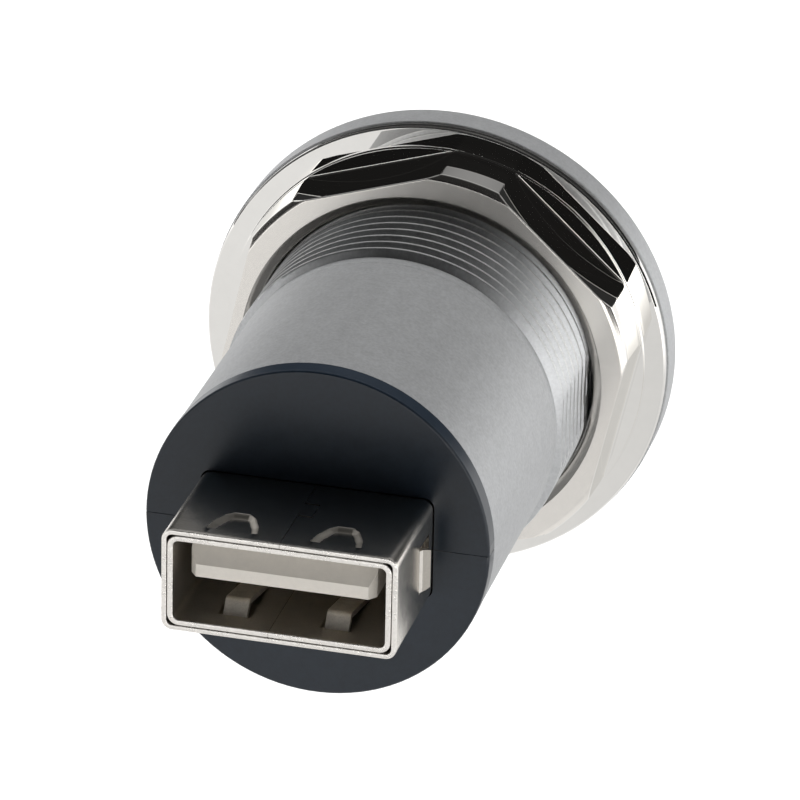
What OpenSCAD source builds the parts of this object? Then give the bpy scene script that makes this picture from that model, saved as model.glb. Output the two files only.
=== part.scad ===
// USB panel adapter: a socket-to-socket feed-through for a round panel hole.
// Millimetres. The axis lies along Y and +Z is up.
// The origin is on the axis, in the plane where the bezel meets the panel.
// Lengths named "back" are counted from there toward the rear, which is -Y.

/* [Bezel] */
// Outside diameter of the bezel
bezel_d = 29.64; // [28.8:0.2:31.6]
// Thickness of the bezel in front of the panel
bezel_h = 2.3; // [2.2:0.1:3.4]
// Radius on the bezel's front edge
bezel_round = 0.5; // [0.2:0.1:0.8]

/* [Neck and barrel] */
// Diameter over the thread's crests
thread_d = 21.6; // [21.4:0.1:22.2]
// Distance from crest to crest
thread_pitch = 1; // [1:0.1:1.2]
// Distance across the two flats of the neck
neck_flats = 20.9; // [20.8:0.1:21.3]
// Length from the panel plane to the barrel's shoulder
neck_len = 11.12; // [10.2:0.1:12.4]
// Diameter of the smooth barrel
barrel_d = 20.8; // [20.7:0.05:20.9]
// Length from the panel plane to the barrel's end
barrel_end = 27.3; // [27.2:0.1:30]

/* [Nut] */
// Width across the nut's flats
nut_across = 24.5; // [24.3:0.1:25.1]
// Diameter that the nut's corners are rounded to, at the free end
nut_hub_d = 26.4; // [26.2:0.1:27.2]
// Draft of the nut's sides, which widens it toward the flange, in degrees
nut_draft = 3; // [0:0.5:4]
// Thickness of the nut's flange
flange_t = 0.7; // [0.6:0.1:1.2]
// Height of the whole nut
nut_h = 4.5; // [4:0.1:6]
// Turn of the hexagon about the axis, in degrees
nut_turn = 17.5; // [0:2.5:60]

/* [Sockets] */
// Width of the socket's opening
mouth_w = 12.5; // [12.4:0.05:12.6]
// Height of the socket's opening
mouth_h = 5.12; // [5.08:0.02:5.2]
// Thickness of the sheet metal
sheet_t = 0.28; // [0.25:0.01:0.3]
// Width of the tongue
tongue_w = 11.1; // [10.9:0.1:11.2]
// Thickness of the tongue
tongue_t = 1.84; // [1.76:0.02:1.9]
// Length of each socket shell
shell_len = 15; // [14.6:0.1:15.6]
// How far the rear socket stands out of the black disc
rear_reach = 8.21; // [7.6:0.1:9]

/* [Rear sleeve] */
// Outside width of the screening sleeve
sleeve_w = 14.05; // [13.95:0.05:14.2]
// Outside height of the screening sleeve
sleeve_h = 6.41; // [6.39:0.02:6.6]
// Thickness of the black rear disc
disc_t = 1.2; // [1:0.1:1.6]

/* [Hidden] */
$fn = 96;
// Clearances, each named for what it separates
nut_clear = 0.05;
bore_clear = 0.05;
pocket_clear = 0.05;
seal_clear = 0.05;
slot_clear = 0.03;
flange_in = 0.1;
tiny = 0.01;
// Thread section: a 60 degree ridge with a narrow flat on top
thread_r = thread_d / 2;
root_r = thread_r - 0.6134 * thread_pitch;
crest_w = thread_pitch / 8;
flank_w = min((thread_r - root_r) * tan(30), (thread_pitch - crest_w) / 2 - 0.02);
ridge_w = crest_w + 2 * flank_w;
runout = 0.16;
last_crest = neck_len - runout - ridge_w / 2;
relief = 1;
crest_count = floor((last_crest - relief) / thread_pitch) + 1;
// Bore of the housing and the black halves inside it
barrel_r = barrel_d / 2;
shoulder_in = 0.07;
shoulder_len = 0.88;
wall = 1.15;
bore_r = barrel_r - wall;
core_r = bore_r - bore_clear;
chamber_r = core_r - 1;
bead = 0.2;
bead_back = 1.4;
bead_w = 0.8;
face_recess = 0.5;
core_front = -(bezel_h - face_recess);
disc_back = barrel_end + disc_t;
disc_r = barrel_r + 0.04;
disc_round = 0.15;
// Seal groove in the back of the bezel
seal_in = thread_r + 0.95;
seal_out = seal_in + 2.1;
seal_deep = 0.8;
// Nut, with its widths at the foot of the hexagon
flange_r = bezel_d / 2 - flange_in;
hex_h = nut_h - flange_t;
foot_across = nut_across + 2 * hex_h * tan(nut_draft);
foot_hub_r = nut_hub_d / 2 + hex_h * tan(nut_draft);
nut_bore_r = thread_r + nut_clear;
ledge_t = 0.2;
corner_cut = 0.3;
sink = 0.7;
// Socket, counted along its depth from the rim
shell_w = mouth_w + 2 * sheet_t;
shell_h = mouth_h + 2 * sheet_t;
mouth_r = 0.4;
tongue_top = mouth_h / 2 - 0.64;
tongue_low = tongue_top - tongue_t;
tongue_front = 0.7;
block_front = shell_len - 2.8;
strip_w = 1;
strip_t = 0.2;
strip_x = [-3.5, -1, 1, 3.5];
tail_out = 0.8;
foot_len = 1.2;
finger_x = 3.05;
finger_w = 1.5;
window_w = 2.1;
window_near = 1.2;
window_far = 6.7;
// Where the two sockets sit
rear_rim = disc_back + rear_reach;
front_rim = core_front + 0.2;
rear_end = rear_rim - shell_len;
front_end = front_rim + shell_len;
// Sleeve
sleeve_r = 0.65;
sleeve_root = rear_end + 2.45;
ear = 0.45;
disc_inner = sleeve_root + sheet_t + slot_clear;
// Board between the sockets
board_t = 1;
board_w = 14;
board_lap = 3.7;
board_top = -shell_h / 2;
board_a = front_end - board_lap;
board_b = sleeve_root - 0.15;
// Ribs of the black halves, each as [start, end]
rib_t = 1.5;
ribs = [[core_front, core_front + 1.4], [4, 4 + rib_t], [front_end - 2.4, front_end - 0.9],
    [rear_end + 0.9, sleeve_root - slot_clear], [disc_inner, disc_back]];

// Turns a section of [radius, back] points about the axis.
module turned() {
    rotate([90, 0, 0])
        rotate_extrude()
            children();
}

// Pushes a flat section, drawn as [x, z], from one back distance to another.
module pushed(from, to) {
    translate([0, -from, 0])
        rotate([90, 0, 0])
            linear_extrude(to - from)
                children();
}

// Puts a socket, drawn with its depth along +Z and its height along +Y, at the rear.
module at_rear() {
    translate([0, -rear_rim, 0])
        rotate([90, 0, 180])
            children();
}

// Puts a socket at the front.
module at_front() {
    translate([0, -front_rim, 0])
        rotate([90, 0, 0])
            children();
}

// A rectangle with round corners, made of squares and circles.
module round_rect(w, h, r) {
    square([w - 2 * r, h], center = true);
    square([w, h - 2 * r], center = true);
    for (sx = [-1, 1])
        for (sz = [-1, 1])
            translate([sx * (w / 2 - r), sz * (h / 2 - r)])
                circle(r);
}

// Outline of one thread ridge, front to back.
function ridge(c) = [[root_r, c - ridge_w / 2], [thread_r, c - crest_w / 2], [thread_r, c + crest_w / 2],
    [root_r, c + ridge_w / 2]];

// Bezel, neck and barrel, turned in one piece, with two flats milled along the neck.
module housing() {
    crests = [for (i = [crest_count - 1:-1:0]) last_crest - i * thread_pitch];
    outline = concat([[0, 0], [root_r, 0]], [for (c = crests) each ridge(c)],
        [[root_r, neck_len - 0.05], [barrel_r - shoulder_in, neck_len], [barrel_r, neck_len + shoulder_len],
        [barrel_r, barrel_end - 0.1], [barrel_r - 0.1, barrel_end], [0, barrel_end]]);
    color([0.62, 0.63, 0.64])
        difference() {
            union() {
                turned()
                    bezel_section();
                difference() {
                    turned()
                        polygon(outline);
                    for (s = [-1, 1])
                        translate([s * (neck_flats / 2 + 1) - 1, -neck_len, -8])
                            cube([2, neck_len, 16]);
                }
            }
            turned()
                bore_section();
            turned()
                translate([seal_in - seal_clear, -seal_deep])
                    square([seal_out - seal_in + 2 * seal_clear, seal_deep + tiny]);
        }
}

// Half section of the bezel with its rounded front edge.
module bezel_section() {
    r = bezel_d / 2;
    translate([0, -bezel_h])
        square([r - bezel_round, bezel_h]);
    translate([0, bezel_round - bezel_h])
        square([r, bezel_h - bezel_round]);
    translate([r - bezel_round, bezel_round - bezel_h])
        circle(bezel_round);
}

// Half section of what is bored out: the long bore, its front chamfer and the snap groove.
module bore_section() {
    translate([0, -bezel_h - 1])
        square([bore_r, bezel_h + barrel_end + 2]);
    polygon([[0, -bezel_h - 0.1], [bore_r + 0.5, -bezel_h - 0.1], [bore_r + 0.4, -bezel_h],
        [bore_r, -bezel_h + 0.4], [0, -bezel_h + 0.4]]);
    translate([0, bead_back - 0.05])
        square([bore_r + bead, bead_w + 0.1]);
}

// Hexagon nut with turned corners, a thin flange and a countersunk bore.
module clamp_nut() {
    hub_r = nut_hub_d / 2;
    color([0.8, 0.79, 0.77])
        difference() {
            union() {
                turned()
                    polygon([[0, 0], [flange_r - 0.1, 0], [flange_r, 0.1], [flange_r, flange_t - 0.1],
                        [flange_r - 0.1, flange_t], [foot_hub_r, flange_t], [foot_hub_r, flange_t + ledge_t],
                        [0, flange_t + ledge_t]]);
                intersection() {
                    translate([0, -flange_t, 0])
                        rotate([90, 0, 0])
                            rotate(nut_turn)
                                cylinder(h = hex_h, r1 = foot_across / 2 / cos(30),
                                    r2 = nut_across / 2 / cos(30), $fn = 6);
                    turned()
                        polygon([[0, 0], [foot_hub_r, 0], [foot_hub_r, flange_t], [hub_r, nut_h - corner_cut],
                            [hub_r - corner_cut, nut_h], [0, nut_h]]);
                }
            }
            turned()
                polygon([[0, -1], [nut_bore_r + 1.4, -1], [nut_bore_r + 0.4, 0], [nut_bore_r, 0.4],
                    [nut_bore_r, nut_h - sink], [nut_bore_r + sink, nut_h], [nut_bore_r + sink, nut_h + 1],
                    [0, nut_h + 1]]);
        }
}

// Flat sealing ring that lies flush in the bezel's groove.
module panel_seal() {
    color([0.09, 0.09, 0.09])
        turned()
            translate([seal_in, -seal_deep])
                square([seal_out - seal_in, seal_deep]);
}

// Both black halves as one body: a tube with ribs that hold the sockets and the board.
module carrier_body() {
    difference() {
        turned() {
            translate([0, core_front])
                square([core_r, barrel_end - core_front]);
            translate([0, bead_back])
                square([core_r + bead, bead_w]);
            translate([0, barrel_end])
                square([disc_r, disc_t - disc_round]);
            translate([0, barrel_end])
                square([disc_r - disc_round, disc_t]);
            translate([disc_r - disc_round, disc_back - disc_round])
                circle(disc_round);
        }
        for (i = [0:len(ribs) - 2])
            pushed(ribs[i][1], ribs[i + 1][0])
                circle(chamber_r);
        pushed(sleeve_root, disc_back + 1)
            round_rect(sleeve_w + 2 * pocket_clear, sleeve_h + 2 * pocket_clear, sleeve_r);
        pushed(rear_end - 1, disc_inner)
            round_rect(shell_w + 2 * pocket_clear, shell_h + 2 * pocket_clear, mouth_r + sheet_t);
        pushed(core_front - 1, front_end + 1)
            round_rect(shell_w + 2 * pocket_clear, shell_h + 2 * pocket_clear, mouth_r + sheet_t);
        translate([-board_w / 2 - slot_clear, -board_b - slot_clear, board_top - board_t - slot_clear])
            cube([board_w + 2 * slot_clear, board_b - board_a + 2 * slot_clear, board_t + 2 * slot_clear]);
    }
}

module carrier_upper() {
    color([0.12, 0.13, 0.14])
        intersection() {
            carrier_body();
            translate([-20, -60, 0])
                cube([40, 80, 20]);
        }
}

module carrier_lower() {
    color([0.11, 0.12, 0.13])
        intersection() {
            carrier_body();
            translate([-20, -60, -20])
                cube([40, 80, 20]);
        }
}

// Sheet sleeve round the rear socket, bent from one strip and closed by a dovetail seam on top.
module rear_outer_shell() {
    hole = [2.1, 3];
    tab_depth = 5.11;
    dimple_near = 0.91;
    dimple_len = 2.4;
    seam = 0.06;
    color([0.72, 0.71, 0.69])
        at_rear() {
            difference() {
                union() {
                    linear_extrude(rear_rim - sleeve_root)
                        round_rect(sleeve_w, sleeve_h, sleeve_r);
                    translate([0, 0, rear_rim - sleeve_root - sheet_t])
                        linear_extrude(sheet_t)
                            round_rect(sleeve_w + 2 * ear, sleeve_h + 2 * ear, sleeve_r + ear);
                }
                translate([0, 0, -1])
                    linear_extrude(rear_rim - sleeve_root + 2)
                        round_rect(sleeve_w - 2 * sheet_t, sleeve_h - 2 * sheet_t, sleeve_r - sheet_t);
                for (s = [-1, 1])
                    translate([s * sleeve_w / 2 - 0.5, -hole[1] / 2, tab_depth])
                        cube([1, hole[1], hole[0]]);
                for (s = [-1, 1])
                    dimple_cut(s * 3.1, dimple_near, dimple_len);
                translate([0, sleeve_h / 2 - sheet_t - 0.1, 0])
                    rotate([-90, 0, 0])
                        mirror([0, 1, 0])
                            linear_extrude(1)
                                seam_line(seam);
            }
            side_tab(tab_depth);
            mirror([1, 0, 0])
                side_tab(tab_depth);
        }
}

// Shallow D-shaped press mark in the sleeve's top, deepest at its round end.
module dimple_cut(x, near, length) {
    deep = 0.16;
    translate([x, sleeve_h / 2, near])
        rotate([-90, 0, 0])
            intersection() {
                mirror([0, 1, 0])
                    translate([0, 0, -1])
                        linear_extrude(2)
                            polygon([[-1.58, 0], [1.58, 0], [1.4, 0.9], [0.95, 1.9], [0.5, length],
                                [-0.5, length], [-0.95, 1.9], [-1.4, 0.9]]);
                rotate([0, 90, 0])
                    mirror([0, 1, 0])
                        linear_extrude(6, center = true)
                            polygon([[-1, -0.1], [0, -0.1], [0, 0], [deep, length - 0.3], [deep, length + 1],
                                [-1, length + 1]]);
            }
}

// The seam as drawn on the flat top: straight, with one dovetail step.
module seam_line(w) {
    a = 3.96;
    b = 5.61;
    far = rear_rim - sleeve_root + 1;
    step = 0.87;
    translate([-w / 2, -1])
        square([w, a + 1]);
    translate([-w / 2 - step, a - w / 2])
        square([step + w, w]);
    translate([-w / 2 - step, a])
        square([w, b - a]);
    translate([-w / 2 - step, b - w / 2])
        square([step + w, w]);
    translate([-w / 2, b])
        square([w, far - b]);
}

// Lanced tab that leans out of the sleeve's side.
module side_tab(depth) {
    x = sleeve_w / 2;
    intersection() {
        translate([0, 1.4, 0])
            rotate([90, 0, 0])
                linear_extrude(2.8)
                    polygon([[x - sheet_t, depth - 0.4], [x, depth - 0.4], [x, depth], [x + 0.5, depth + 0.62],
                        [x + 0.32, depth + 0.8], [x - sheet_t, depth + 0.12]]);
        translate([x - 1, 0, 0])
            rotate([0, 90, 0])
                linear_extrude(3)
                    polygon([[-depth + 0.5, -1.4], [-depth - 0.3, -1.4], [-depth - 0.85, -0.8],
                        [-depth - 0.85, 0.8], [-depth - 0.3, 1.4], [-depth + 0.5, 1.4]]);
    }
}

// Socket shell: a bent sheet tube with a pair of spring fingers below and a pair above.
module socket_shell() {
    difference() {
        linear_extrude(shell_len)
            round_rect(shell_w, shell_h, mouth_r + sheet_t);
        translate([0, 0, -1])
            linear_extrude(shell_len + 2)
                round_rect(mouth_w, mouth_h, mouth_r);
        for (sx = [-1, 1])
            for (sz = [-1, 1])
                translate([sx * finger_x - window_w / 2, sz * shell_h / 2 - 0.5, window_near])
                    cube([window_w, 1, window_far - window_near]);
        translate([0.57, -shell_h / 2 - 0.5, -1])
            cube([0.06, 1, shell_len + 2]);
    }
    for (sx = [-1, 1]) {
        spring_finger(sx * finger_x, -1, 0.56);
        spring_finger(sx * finger_x, 1, 0.3);
    }
}

// One spring finger, rooted at the deep end of its window and bowed into the mouth.
module spring_finger(x, side, bow) {
    z = mouth_h / 2;
    t = sheet_t;
    n = window_near + 0.25;
    f = window_far;
    mirror([0, side < 0 ? 1 : 0, 0])
        translate([x - finger_w / 2, 0, 0])
            rotate([90, 0, 90])
                linear_extrude(finger_w)
                    polygon([[z, f + 0.4], [z, f], [z - bow * 0.5, f - 2.2], [z - bow, n + 1.5],
                        [z - bow, n + 1.05], [z - bow * 0.75, n + 0.6], [z, n], [z + t * 0.85, n + 0.2],
                        [z - bow * 0.75 + t, n + 0.85], [z - bow + t, n + 1.2], [z - bow + t, n + 1.5],
                        [z - bow * 0.5 + t, f - 2.2], [z + t, f], [z + t, f + 0.4]]);
}

// Moulded block at the back of a socket with the tongue that carries the contacts.
module socket_tongue() {
    difference() {
        union() {
            translate([0, 0, block_front])
                linear_extrude(shell_len - block_front)
                    round_rect(mouth_w - 2 * pocket_clear, mouth_h - 2 * pocket_clear, mouth_r - pocket_clear);
            intersection() {
                translate([-tongue_w / 2, 0, 0])
                    rotate([90, 0, 90])
                        linear_extrude(tongue_w)
                            polygon([[tongue_low, tongue_front], [tongue_low + 0.79, tongue_front],
                                [tongue_top, tongue_front + 0.7], [tongue_top, block_front + 1],
                                [tongue_low, block_front + 1]]);
                translate([0, -5, 0])
                    rotate([-90, 0, 0])
                        mirror([0, 1, 0])
                            linear_extrude(10)
                                polygon([[-tongue_w / 2 + 0.4, tongue_front],
                                    [tongue_w / 2 - 0.4, tongue_front], [tongue_w / 2, tongue_front + 0.5],
                                    [tongue_w / 2, shell_len], [-tongue_w / 2, shell_len],
                                    [-tongue_w / 2, tongue_front + 0.5]]);
            }
        }
        for (x = strip_x)
            translate([x - strip_w / 2 - slot_clear, tongue_low - 0.02, tongue_front + 0.5])
                cube([strip_w + 2 * slot_clear, strip_t + 0.02, shell_len]);
    }
}

// One contact: a strip along the tongue, bowed toward the plug, with a tail down to the board.
module socket_contact(x) {
    a = tongue_low;
    b = tongue_low + strip_t;
    d = tongue_front + 0.6;
    e = shell_len + tail_out;
    low = board_top;
    translate([x - strip_w / 2, 0, 0])
        rotate([90, 0, 90])
            linear_extrude(strip_w)
                polygon([[b, d], [b, e], [low + strip_t, e], [low + strip_t, e + foot_len], [low, e + foot_len],
                    [low, e - strip_t], [a, e - strip_t], [a, d + 4.6], [a - 0.3, d + 3.2], [a - 0.3, d + 2.6],
                    [a, d + 1.4], [a, d]]);
}

module rear_inner_shell() {
    color([0.74, 0.73, 0.71])
        at_rear()
            socket_shell();
}

module rear_tongue() {
    color([0.9, 0.88, 0.84])
        at_rear()
            socket_tongue();
}

module rear_contact(i) {
    color([0.83, 0.68, 0.36])
        at_rear()
            socket_contact(strip_x[i]);
}

module front_shell() {
    color([0.74, 0.73, 0.71])
        at_front()
            socket_shell();
}

module front_tongue() {
    color([0.9, 0.88, 0.84])
        at_front()
            socket_tongue();
}

module front_contact(i) {
    color([0.83, 0.68, 0.36])
        at_front()
            socket_contact(strip_x[i]);
}

// Board that the shells stand on and the contact tails land on.
module circuit_board() {
    color([0.1, 0.32, 0.18])
        translate([-board_w / 2, -board_b, board_top - board_t])
            cube([board_w, board_b - board_a, board_t]);
}

housing();
clamp_nut();
panel_seal();
carrier_upper();
carrier_lower();
rear_outer_shell();
rear_inner_shell();
rear_tongue();
rear_contact(0);  // rear_contact_1
rear_contact(1);  // rear_contact_2
rear_contact(2);  // rear_contact_3
rear_contact(3);  // rear_contact_4
front_shell();
front_tongue();
front_contact(0);  // front_contact_1
front_contact(1);  // front_contact_2
front_contact(2);  // front_contact_3
front_contact(3);  // front_contact_4
circuit_board();
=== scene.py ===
"""Looks of the USB panel adapter: fine shapes, finishes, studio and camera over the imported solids.

Sizes are millimetres on the part's own axis. A distance called "back" is counted from the panel
plane toward the rear, which is -Y, and an angle is counted from +X toward +Z.
"""

import logging
import math
from collections.abc import Callable, Sequence
from dataclasses import dataclass
from enum import Enum
from functools import partial

import bmesh
import bpy
import numpy as np
from mathutils import Matrix


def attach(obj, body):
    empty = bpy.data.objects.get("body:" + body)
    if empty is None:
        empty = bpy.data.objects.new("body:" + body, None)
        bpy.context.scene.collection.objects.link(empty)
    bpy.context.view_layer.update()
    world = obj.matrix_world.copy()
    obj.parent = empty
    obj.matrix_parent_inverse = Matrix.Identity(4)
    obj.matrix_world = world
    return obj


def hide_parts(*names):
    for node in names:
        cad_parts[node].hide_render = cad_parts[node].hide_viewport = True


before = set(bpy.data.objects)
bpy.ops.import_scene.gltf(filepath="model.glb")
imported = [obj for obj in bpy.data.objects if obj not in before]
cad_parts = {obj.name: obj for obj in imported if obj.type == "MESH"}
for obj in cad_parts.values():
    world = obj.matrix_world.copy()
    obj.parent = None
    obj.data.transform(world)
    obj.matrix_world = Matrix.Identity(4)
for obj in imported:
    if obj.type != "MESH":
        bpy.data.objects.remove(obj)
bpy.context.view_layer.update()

MM = 0.001
# In metres: points of a solid that are closer are one point, and an edge that is shorter is none.
SAME_POINT = 1e-7
NO_EDGE = 1e-8
# Where the two sockets' rims stand along Y, and how far from there a rim's sheared edge reaches.
REAR_RIM = -36.71
FRONT_RIM = 1.6
RIM_REACH = 0.05
LOG = logging.getLogger("panel_adapter")
Section = list[tuple[float, float]]
Stops = tuple[tuple[float, float], ...]


class Body(Enum):
    """The two bodies that a piece can ride on."""

    ADAPTER = "adapter"
    NUT = "nut"


class End(Enum):
    """The end of the adapter that a socket is built into."""

    REAR = "rear"
    FRONT = "front"

    def place(self, points: np.ndarray) -> np.ndarray:
        """Moves socket points to their end.

        Args:
            points: Array whose last axis is (across, up, depth from the rim).

        Returns:
            The same points in the part's frame.
        """
        across, up, depth = points[..., 0], points[..., 1], points[..., 2]
        if self is End.REAR:
            return np.stack([-across, depth + REAR_RIM, up], axis=-1)
        return np.stack([across, FRONT_RIM - depth, up], axis=-1)

    def at_rim(self, face: bpy.types.MeshPolygon) -> bool:
        """Tells whether a face belongs to the sheared edge of the socket's rim."""
        rim = REAR_RIM if self is End.REAR else FRONT_RIM
        return abs(face.center.y / MM - rim) < RIM_REACH


def linear(hex_colour: str) -> tuple[float, float, float, float]:
    """Turns an sRGB hex colour into the linear values that a shader takes.

    Args:
        hex_colour: Six hex digits after a hash sign.

    Returns:
        Red, green, blue and an alpha of one.
    """
    parts = [int(hex_colour[i : i + 2], 16) / 255 for i in (1, 3, 5)]
    r, g, b = (c / 12.92 if c <= 0.04045 else ((c + 0.055) / 1.055) ** 2.4 for c in parts)
    return r, g, b, 1.0


def add_node(
    tree: bpy.types.NodeTree,
    kind: str,
    settings: dict[str, object] | None = None,
    values: dict[str | int, object] | None = None,
    links: dict[str | int, bpy.types.NodeSocket | bpy.types.Node] | None = None,
    stops: Sequence[tuple[float, float]] = (),
) -> bpy.types.Node:
    """Adds one node to a tree.

    Args:
        tree: The node tree of a material or of the world.
        kind: Blender's type name of the node, after ShaderNode.
        settings: Properties of the node itself.
        values: Values for its inputs, by name or place.
        links: What feeds its inputs: output sockets, or nodes for their first output.
        stops: Places from 0 to 1 with their grey levels, for a node that has a ramp.

    Returns:
        The new node.
    """
    node = tree.nodes.new(f"ShaderNode{kind}")
    for key, value in (settings or {}).items():
        setattr(node, key, value)
    for key, value in (values or {}).items():
        node.inputs[key].default_value = value
    for key, source in (links or {}).items():
        socket = source.outputs[0] if isinstance(source, bpy.types.Node) else source
        tree.links.new(socket, node.inputs[key])
    if stops:
        made = node.color_ramp.elements
        made[0].position, made[1].position = stops[0][0], stops[-1][0]
        for place, _ in stops[1:-1]:
            made.new(place)
        for stop, (_, level) in zip(made, stops):
            stop.color = (level, level, level, 1)
    return node


def rounded(corners: Sequence[tuple[float, float, float]], steps: int = 5) -> Section:
    """Rounds the inner corners of an open section line.

    Args:
        corners: Points as (first, second, radius of the rounding).
        steps: Spans on each rounded corner.

    Returns:
        The points of the line, in order.
    """
    most = 0.49  # of a side, so that the roundings at its two ends never meet
    points: Section = []
    for i, (p, q, radius) in enumerate(corners):
        here = np.array((p, q))
        if radius <= 0 or i in (0, len(corners) - 1):
            points.append((p, q))
            continue
        before = np.array(corners[i - 1][:2]) - here
        after = np.array(corners[i + 1][:2]) - here
        u, v = before / np.linalg.norm(before), after / np.linalg.norm(after)
        half = 0.5 * math.acos(float(np.clip(u @ v, -1, 1)))
        reach = min(radius / math.tan(half), most * min(np.linalg.norm(before), np.linalg.norm(after)))
        radius = reach * math.tan(half)
        centre = here + (u + v) / np.linalg.norm(u + v) * radius / math.sin(half)
        first, last = here + u * reach - centre, here + v * reach - centre
        a = math.atan2(first[1], first[0])
        turn = (math.atan2(last[1], last[0]) - a + math.pi) % (2 * math.pi) - math.pi
        for k in range(steps + 1):
            t = a + turn * k / steps
            points.append((centre[0] + radius * math.cos(t), centre[1] + radius * math.sin(t)))
    return points


def turned(radius: np.ndarray, back: np.ndarray, angles: np.ndarray) -> np.ndarray:
    """Puts rows of radius and back distance round the axis.

    Args:
        radius: Radii, as (rows, columns) or (rows, 1).
        back: Back distances of the same shape.
        angles: One angle for each column, in radians.

    Returns:
        Points as (rows, columns, 3).
    """
    radius, back, angles = np.broadcast_arrays(radius, back, angles[None, :])
    return np.stack([radius * np.cos(angles), -back, radius * np.sin(angles)], axis=-1)


def rings(section: Section) -> tuple[np.ndarray, np.ndarray]:
    """Splits a section into a column of radii and a column of back distances."""
    line = np.array(section)
    return line[:, :1], line[:, 1:]


def smooth_step(value: np.ndarray, low: float, high: float) -> np.ndarray:
    """Goes softly from 0 at low to 1 at high."""
    t = np.clip((value - low) / (high - low), 0, 1)
    return t * t * (3 - 2 * t)


def stations(*values: float) -> list[float]:
    """Sorts stations along a sheet and drops those that repeat."""
    return sorted({round(float(v), 4) for v in values})


class Skin:
    """Vertices and faces of one piece, gathered patch by patch."""

    def __init__(self) -> None:
        """Starts with an empty piece."""
        self.points: list[np.ndarray] = []
        self.faces: list[tuple[int, ...]] = []
        self.finishes: list[int] = []
        self.count = 0

    def add(self, points: np.ndarray) -> np.ndarray:
        """Adds points.

        Args:
            points: Array whose last axis is x, y, z in millimetres.

        Returns:
            The index of each point, in the array's own shape.
        """
        flat = points.reshape(-1, 3)
        index = np.arange(self.count, self.count + len(flat)).reshape(points.shape[:-1])
        self.points.append(flat)
        self.count += len(flat)
        return index

    def loop_grid(self, points: np.ndarray) -> None:
        """Adds a grid whose rows close on themselves; its first and last columns are welded later."""
        at = self.add(points)
        below = np.roll(at, -1, axis=0)
        quads = np.stack([at[:, :-1], at[:, 1:], below[:, 1:], below[:, :-1]], axis=-1)
        self.faces += [tuple(q) for q in quads.reshape(-1, 4).tolist()]
        self.finishes += [0] * quads[..., 0].size

    def sheet(
        self,
        outer: np.ndarray,
        inner: np.ndarray,
        gone: np.ndarray,
        closed: bool = True,
        skins: tuple[int, int] = (0, 0),
    ) -> None:
        """Adds sheet metal as two skins with walls along every edge.

        Args:
            outer: Points of one skin, as (round, along, 3).
            inner: Points of the other skin.
            gone: True for each cell that is cut out, as (round, along - 1).
            closed: Whether the sheet closes on itself the first way.
            skins: Places of the two skins' finishes in the piece's list; walls take the first.
        """
        o, i = self.add(outer), self.add(inner)
        cells, spans = gone.shape
        for u in range(cells if closed else cells - 1):
            v = (u + 1) % cells
            before = gone[u - 1] if closed or u else np.ones(spans, bool)
            after = gone[v] if closed or v < cells - 1 else np.ones(spans, bool)
            for d in range(spans):
                if gone[u, d]:
                    continue
                e = d + 1
                quads = [(o[u, d], o[v, d], o[v, e], o[u, e]), (i[u, e], i[v, e], i[v, d], i[u, d])]
                if d == 0 or gone[u, d - 1]:
                    quads.append((o[u, d], i[u, d], i[v, d], o[v, d]))
                if e == spans or gone[u, e]:
                    quads.append((o[v, e], i[v, e], i[u, e], o[u, e]))
                if before[d]:
                    quads.append((o[u, e], i[u, e], i[u, d], o[u, d]))
                if after[d]:
                    quads.append((o[v, d], i[v, d], i[v, e], o[v, e]))
                self.faces += quads
                self.finishes += [*skins, *[skins[0]] * (len(quads) - 2)]

    def build(self, name: str, weld: float = 0.002) -> bpy.types.Object:
        """Makes the piece's object.

        Args:
            name: Name of the piece.
            weld: Points closer than this are joined, in millimetres.

        Returns:
            The new object, linked to the scene.
        """
        mesh = bpy.data.meshes.new(name)
        mesh.from_pydata((np.concatenate(self.points) * MM).tolist(), [], self.faces)
        mesh.polygons.foreach_set("material_index", self.finishes)
        shape = bmesh.new()
        shape.from_mesh(mesh)
        bmesh.ops.remove_doubles(shape, verts=shape.verts, dist=weld * MM)
        bmesh.ops.dissolve_degenerate(shape, edges=shape.edges, dist=NO_EDGE)
        bmesh.ops.recalc_face_normals(shape, faces=shape.faces)
        return link(shape, mesh)


def link(shape: bmesh.types.BMesh, mesh: bpy.types.Mesh) -> bpy.types.Object:
    """Puts a shape into the scene as a smooth object.

    Args:
        shape: The shape, which is freed.
        mesh: The mesh that takes it, and that gives the object its name.

    Returns:
        The new object.
    """
    shape.to_mesh(mesh)
    shape.free()
    piece = bpy.data.objects.new(mesh.name, mesh)
    bpy.context.scene.collection.objects.link(piece)
    mesh.polygons.foreach_set("use_smooth", [True] * len(mesh.polygons))
    return piece


def solid_shape(node: str) -> bmesh.types.BMesh:
    """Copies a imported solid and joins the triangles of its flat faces.

    Args:
        node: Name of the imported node.

    Returns:
        The copy.
    """
    flat = math.radians(0.4)
    shape = bmesh.new()
    shape.from_mesh(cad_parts[node].data)
    bmesh.ops.remove_doubles(shape, verts=shape.verts, dist=SAME_POINT)
    bmesh.ops.dissolve_limit(shape, angle_limit=flat, verts=shape.verts, edges=shape.edges)
    return shape


def soften(piece: bpy.types.Object, width: float, limit: float = 40) -> None:
    """Rounds the sharp edges of a piece and lets its large faces keep their own normals.

    Args:
        piece: The object.
        width: Width of the rounding in millimetres; 0 leaves the edges.
        limit: Edges sharper than this angle count, in degrees.
    """
    sharp = limit
    if width:
        bevel = piece.modifiers.new("edge_round", "BEVEL")
        bevel.width = width * MM
        bevel.segments = 3
        bevel.limit_method = "ANGLE"
        bevel.angle_limit = math.radians(limit)
        sharp = 80  # the rounding's own edges stay smooth
    piece.data.set_sharp_from_angle(angle=math.radians(sharp))
    weigh = piece.modifiers.new("even_normals", "WEIGHTED_NORMAL")
    weigh.keep_sharp = True
    weigh.weight = 90


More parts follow.
